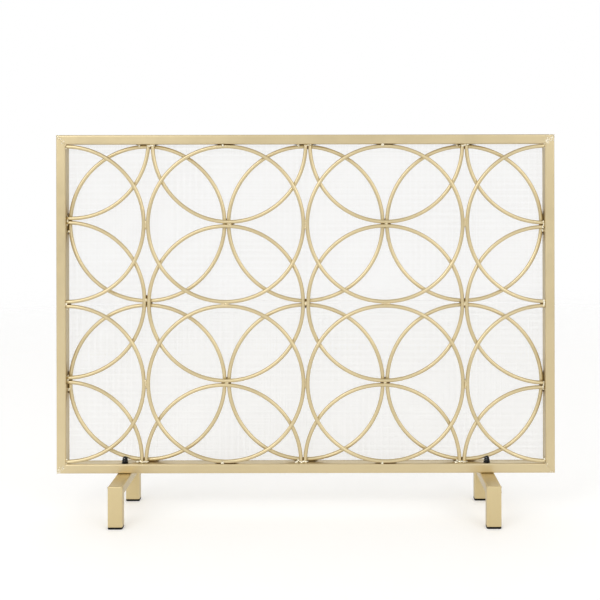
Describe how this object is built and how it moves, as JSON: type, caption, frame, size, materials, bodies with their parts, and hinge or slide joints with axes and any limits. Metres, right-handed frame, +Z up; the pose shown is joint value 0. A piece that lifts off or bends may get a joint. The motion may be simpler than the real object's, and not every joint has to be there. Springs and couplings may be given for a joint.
{
  "type": "fireplace screen",
  "caption": "Free-standing flat fireplace screen: a gold tube frame filled with overlapping round-rod rings over a woven spark mesh, on bolted bridge-shaped legs with black rubber feet.",
  "frame": {"origin": "on the floor, under the middle of the legs, midway along the screen", "axes": "+X along the screen to its right as seen from the room, +Y from the room side towards the fire, +Z up"},
  "size_m": [1.051, 0.188, 0.801],
  "materials": {
    "frame_paint": "satin champagne-gold metallic paint on steel tube",
    "ring_paint": "satin champagne-gold metallic paint on steel rod",
    "leg_paint": "satin champagne-gold metallic paint on steel tube",
    "strip_paint": "satin champagne-gold metallic paint on flat steel bar",
    "mesh_wire": "pale woven steel wire, semi-matte",
    "black_fastener": "black-plated steel, semi-gloss",
    "foot_rubber": "matte black moulded rubber"
  },
  "bodies": {
    "screen": {"top_rail": "frame_paint", "bottom_rail": "frame_paint", "left_stile": "frame_paint", "right_stile": "frame_paint", "middle_quarter_ring_c1_r1": "ring_paint", "middle_half_ring_c3_r1": "ring_paint", "middle_half_ring_c5_r1": "ring_paint", "middle_quarter_ring_c7_r1": "ring_paint", "front_half_ring_c1_r2": "ring_paint", "back_ring_c2_r2": "ring_paint", "front_ring_c3_r2": "ring_paint", "back_ring_c4_r2": "ring_paint", "front_ring_c5_r2": "ring_paint", "back_ring_c6_r2": "ring_paint", "front_half_ring_c7_r2": "ring_paint", "middle_half_ring_c1_r3": "ring_paint", "middle_ring_c3_r3": "ring_paint", "middle_ring_c5_r3": "ring_paint", "middle_half_ring_c7_r3": "ring_paint", "front_half_ring_c1_r4": "ring_paint", "back_ring_c2_r4": "ring_paint", "front_ring_c3_r4": "ring_paint", "back_ring_c4_r4": "ring_paint", "front_ring_c5_r4": "ring_paint", "back_ring_c6_r4": "ring_paint", "front_half_ring_c7_r4": "ring_paint", "middle_quarter_ring_c1_r5": "ring_paint", "middle_half_ring_c3_r5": "ring_paint", "middle_half_ring_c5_r5": "ring_paint", "middle_quarter_ring_c7_r5": "ring_paint", "spark_mesh": "mesh_wire", "top_mesh_strip": "strip_paint", "bottom_mesh_strip": "strip_paint", "left_mesh_strip": "strip_paint", "right_mesh_strip": "strip_paint", "left_nut_washer": "black_fastener", "right_nut_washer": "black_fastener"},
    "left_leg": {"left_leg_bar": "leg_paint", "left_front_post": "leg_paint", "left_rear_post": "leg_paint", "left_front_foot": "foot_rubber", "left_rear_foot": "foot_rubber", "left_bolt": "black_fastener", "left_head_washer": "black_fastener"},
    "right_leg": {"right_leg_bar": "leg_paint", "right_front_post": "leg_paint", "right_rear_post": "leg_paint", "right_front_foot": "foot_rubber", "right_rear_foot": "foot_rubber", "right_bolt": "black_fastener", "right_head_washer": "black_fastener"},
    "left_nut": {"left_cap_nut": "black_fastener"},
    "right_nut": {"right_cap_nut": "black_fastener"}
  },
  "joints": [
    {"name": "left_leg_swivel", "type": "hinge", "parent": "screen", "child": "left_leg", "pos_m": [-0.383, 0, 0.0767], "axis": [0, 0, 1], "range_deg": [-90, 90]},
    {"name": "left_nut_turn", "type": "hinge", "parent": "left_leg", "child": "left_nut", "pos_m": [-0.383, 0, 0.1092], "axis": [0, 0, 1], "continuous": true},
    {"name": "right_leg_swivel", "type": "hinge", "parent": "screen", "child": "right_leg", "pos_m": [0.383, 0, 0.0767], "axis": [0, 0, 1], "range_deg": [-90, 90]},
    {"name": "right_nut_turn", "type": "hinge", "parent": "right_leg", "child": "right_nut", "pos_m": [0.383, 0, 0.1092], "axis": [0, 0, 1], "continuous": true}
  ]
}
